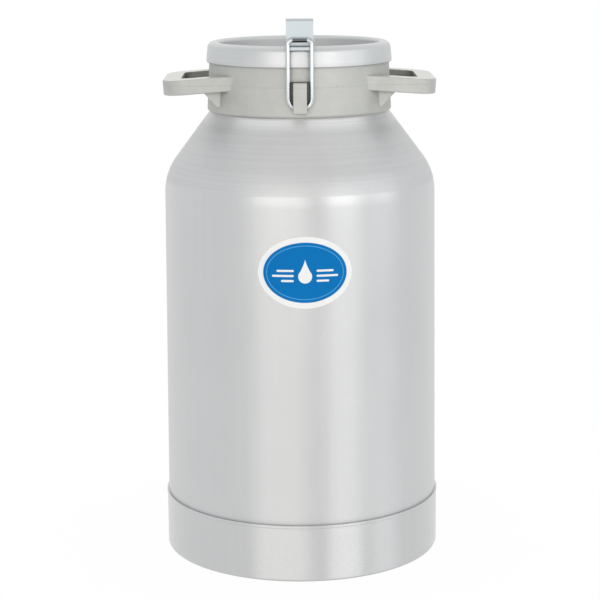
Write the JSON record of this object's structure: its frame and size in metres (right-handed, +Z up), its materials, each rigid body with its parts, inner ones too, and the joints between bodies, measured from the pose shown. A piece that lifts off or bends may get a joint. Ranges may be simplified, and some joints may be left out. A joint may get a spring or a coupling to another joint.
{
  "type": "milk churn",
  "caption": "Shut aluminium milk churn: upright barrel with a sloping shoulder, cast collar with side handles, dished lid held by a wire and lever clasp, and a band round the foot.",
  "frame": {"origin": "centre of the foot, on the ground", "axes": "+Z up along the barrel's axis; the clasp faces -Y and the handles point along +X and -X"},
  "size_m": [0.3236, 0.3236, 0.6269],
  "materials": {
    "barrel_aluminium": "satin, fine turned lines",
    "hoop_aluminium": "satin",
    "cast_aluminium": "fine grained casting, matt",
    "lid_aluminium": "satin",
    "plated_steel": "zinc plated, half bright",
    "bright_wire": "bright plated",
    "label_film": "blue oval field with a white edge"
  },
  "bodies": {
    "root": {"barrel": "barrel_aluminium", "base_hoop": "hoop_aluminium", "collar": "cast_aluminium", "lid": "lid_aluminium", "clasp_bracket": "plated_steel", "clasp_lever": "plated_steel", "clasp_pin": "plated_steel", "clasp_wire": "bright_wire", "bracket_rivet_left": "plated_steel", "bracket_rivet_right": "plated_steel", "hinge_tongue": "cast_aluminium", "hinge_pin": "plated_steel", "label": "label_film"}
  },
  "joints": []
}
